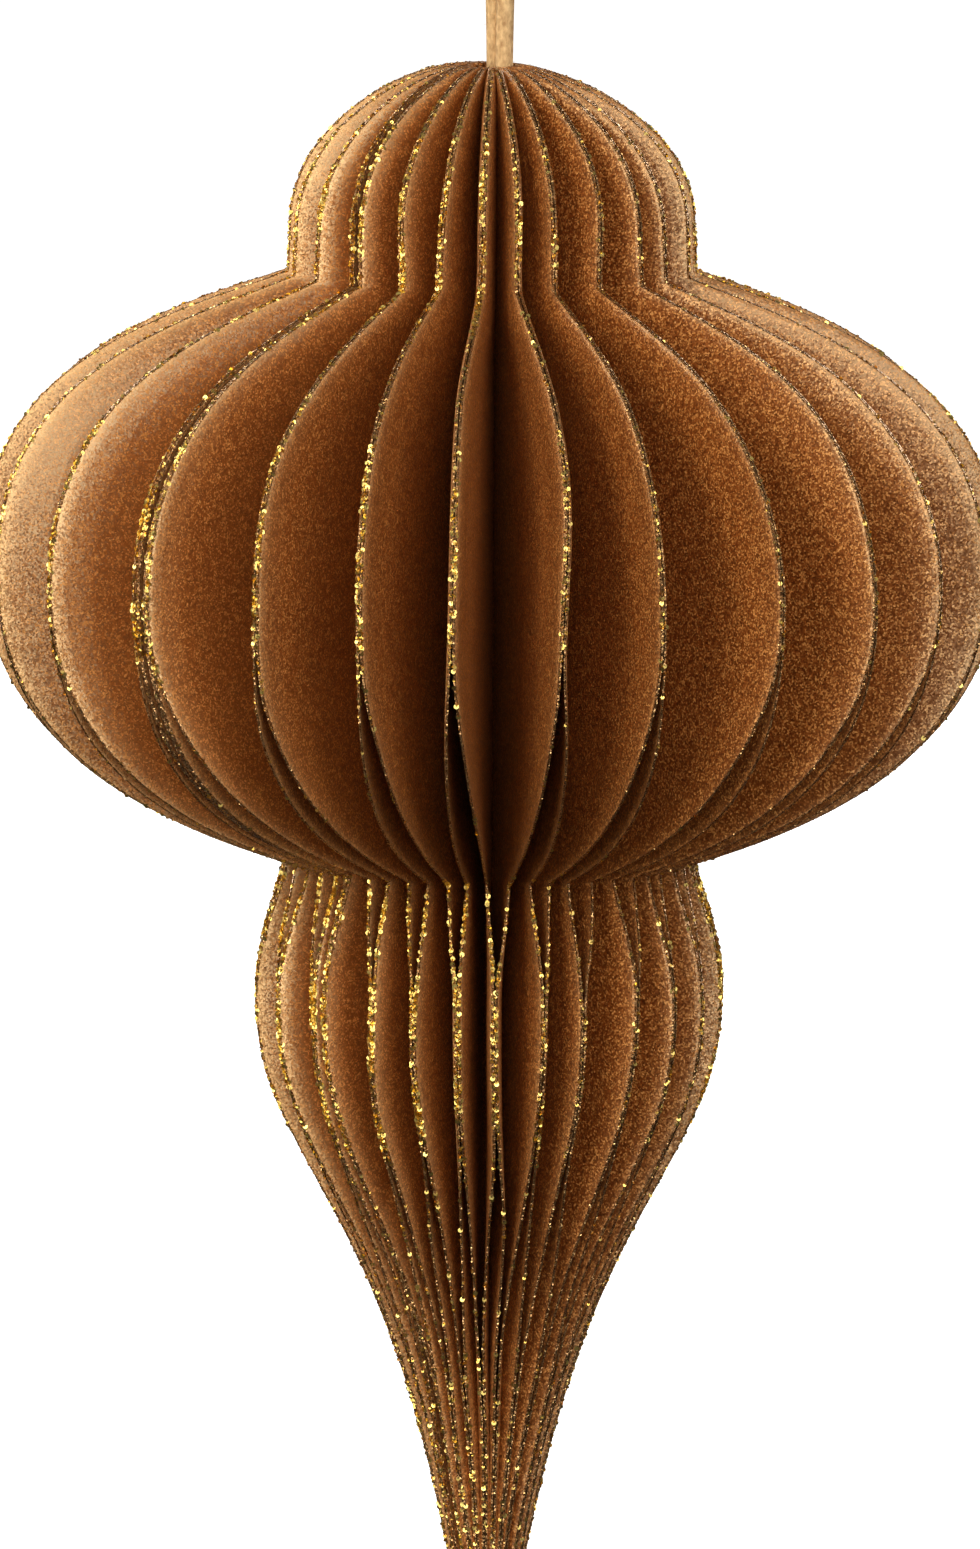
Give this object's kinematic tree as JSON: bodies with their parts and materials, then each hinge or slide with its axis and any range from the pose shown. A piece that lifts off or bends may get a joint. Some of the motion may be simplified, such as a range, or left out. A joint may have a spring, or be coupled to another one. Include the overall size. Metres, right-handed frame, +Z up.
{
  "type": "folded paper finial ornament",
  "caption": "Hanging finial of V-folded paper leaves: small dome, wide bulge, slim lower bulge and long tip, glittered at the rims, on a doubled cord.",
  "frame": {"origin": "inside top of the cord loop, where a hook carries it, on the finial's own axis", "axes": "+Z up along the finial's axis, -Y the front of the picture, +X to its right"},
  "size_m": [0.1152, 0.1147, 0.2225],
  "materials": {
    "glitter_paper": "copper-brown shimmer paper, gold glitter on the rims",
    "cover_board": "copper-brown shimmer board, gold glitter on the rims",
    "cord": "matt twisted cotton cord, tan"
  },
  "bodies": {
    "root": {"leaf_01": "glitter_paper", "leaf_02": "glitter_paper", "leaf_03": "glitter_paper", "leaf_04": "glitter_paper", "leaf_05": "glitter_paper", "leaf_06": "glitter_paper", "leaf_07": "glitter_paper", "leaf_08": "glitter_paper", "leaf_09": "glitter_paper", "leaf_10": "glitter_paper", "leaf_11": "glitter_paper", "leaf_12": "glitter_paper", "leaf_13": "glitter_paper", "leaf_14": "glitter_paper", "leaf_15": "glitter_paper", "leaf_16": "glitter_paper", "leaf_17": "glitter_paper", "leaf_18": "glitter_paper", "leaf_19": "glitter_paper", "leaf_20": "glitter_paper", "leaf_21": "glitter_paper", "leaf_22": "glitter_paper", "leaf_23": "glitter_paper", "leaf_24": "glitter_paper", "leaf_25": "glitter_paper", "leaf_26": "glitter_paper", "cover_first": "cover_board", "cover_last": "cover_board", "hanging_cord": "cord"}
  },
  "joints": []
}
